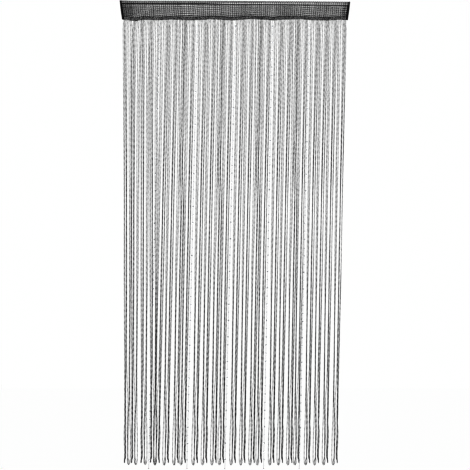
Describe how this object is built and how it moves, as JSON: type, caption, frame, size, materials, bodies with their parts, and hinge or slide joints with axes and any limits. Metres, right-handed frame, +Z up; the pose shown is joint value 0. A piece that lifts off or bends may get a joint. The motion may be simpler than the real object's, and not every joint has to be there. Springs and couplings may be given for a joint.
{
  "type": "string door curtain with bead strings",
  "caption": "Door curtain of hanging looped black strings with strings of clear beads between them, under a black mesh heading with a rod pocket.",
  "frame": {"origin": "middle of the heading's top edge", "axes": "+Z up along the hanging length, X along the heading, front facing -Y"},
  "size_m": [0.9848, 0.0289, 2.0019],
  "materials": {
    "black_mesh": "warp-knitted polyester mesh tape, matte, see-through",
    "black_yarn": "twisted polyester yarn with a faint sheen",
    "clear_beads": "clear faceted acrylic beads on a thin nylon thread"
  },
  "bodies": {
    "root": {"heading": "black_mesh", "fringe": "black_yarn", "bead_string_1": "clear_beads", "bead_string_2": "clear_beads", "bead_string_3": "clear_beads", "bead_string_4": "clear_beads", "bead_string_5": "clear_beads"}
  },
  "joints": []
}
